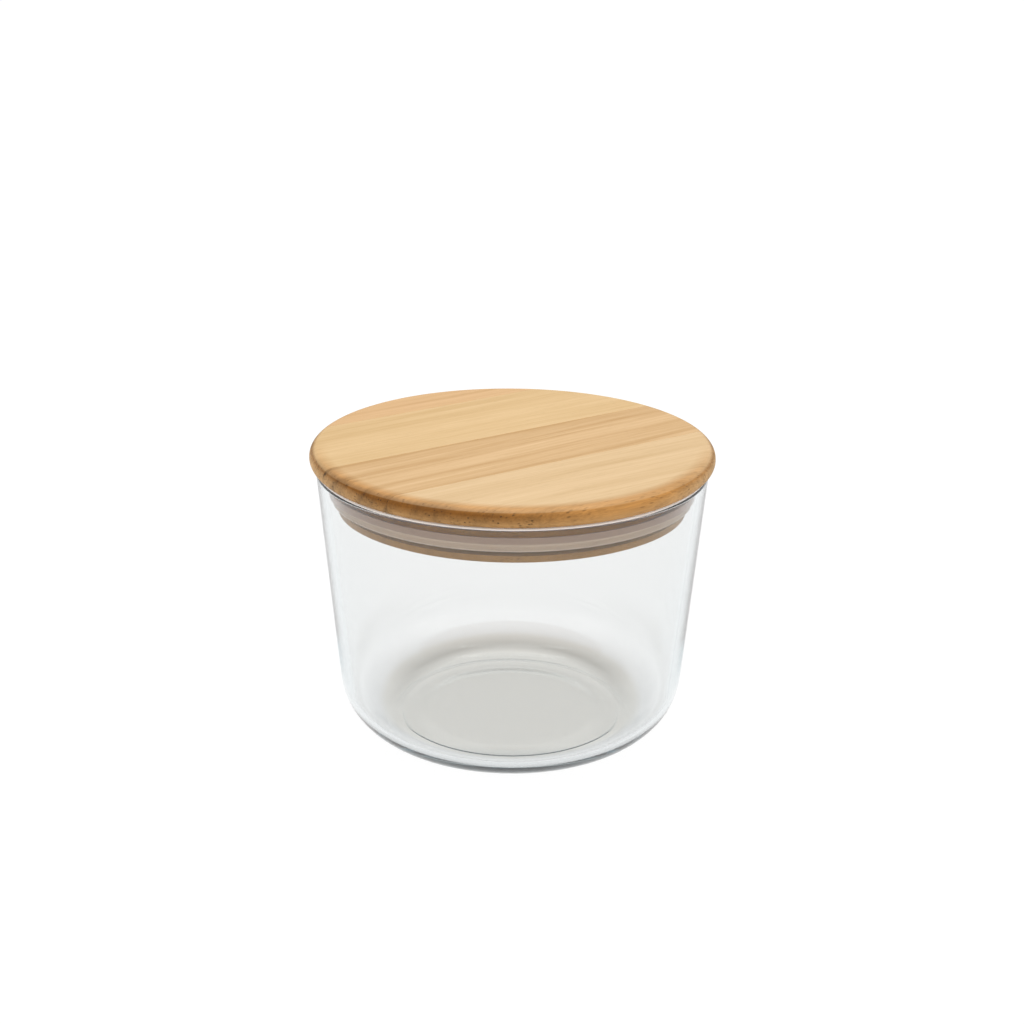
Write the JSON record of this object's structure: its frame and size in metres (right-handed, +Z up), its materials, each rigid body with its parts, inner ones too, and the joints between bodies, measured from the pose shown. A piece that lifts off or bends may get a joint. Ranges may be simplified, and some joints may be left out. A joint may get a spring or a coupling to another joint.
{
  "type": "lidded glass canister",
  "caption": "Low round glass storage jar with a push-in turned wooden lid that overhangs the mouth and seals with a finned silicone ring.",
  "frame": {"origin": "on the jar's axis, on the surface that its foot ring stands on", "axes": "+Z up along the jar's axis; +X to the right and -Y towards the viewer; the lid's boards run 34.5 degrees from +X towards +Y"},
  "size_m": [0.124, 0.124, 0.0925],
  "materials": {
    "glass": "clear, polished",
    "lid_wood": "light golden hardwood, sanded and oiled, satin",
    "silicone": "translucent whitish silicone, satin"
  },
  "bodies": {
    "jar": {"glass_jar": "glass"},
    "seal": {"seal_ring": "silicone"},
    "lid": {"lid_board_1": "lid_wood", "lid_board_2": "lid_wood", "lid_board_3": "lid_wood", "lid_board_4": "lid_wood"}
  },
  "joints": [
    {"name": "lid_lift", "type": "slide", "parent": "jar", "child": "seal", "axis": [0, 0, 1], "range_m": [0, 0.08]},
    {"name": "lid_turn", "type": "hinge", "parent": "seal", "child": "lid", "pos_m": [0, 0, 0.0868], "axis": [0, 0, 1], "continuous": true}
  ]
}
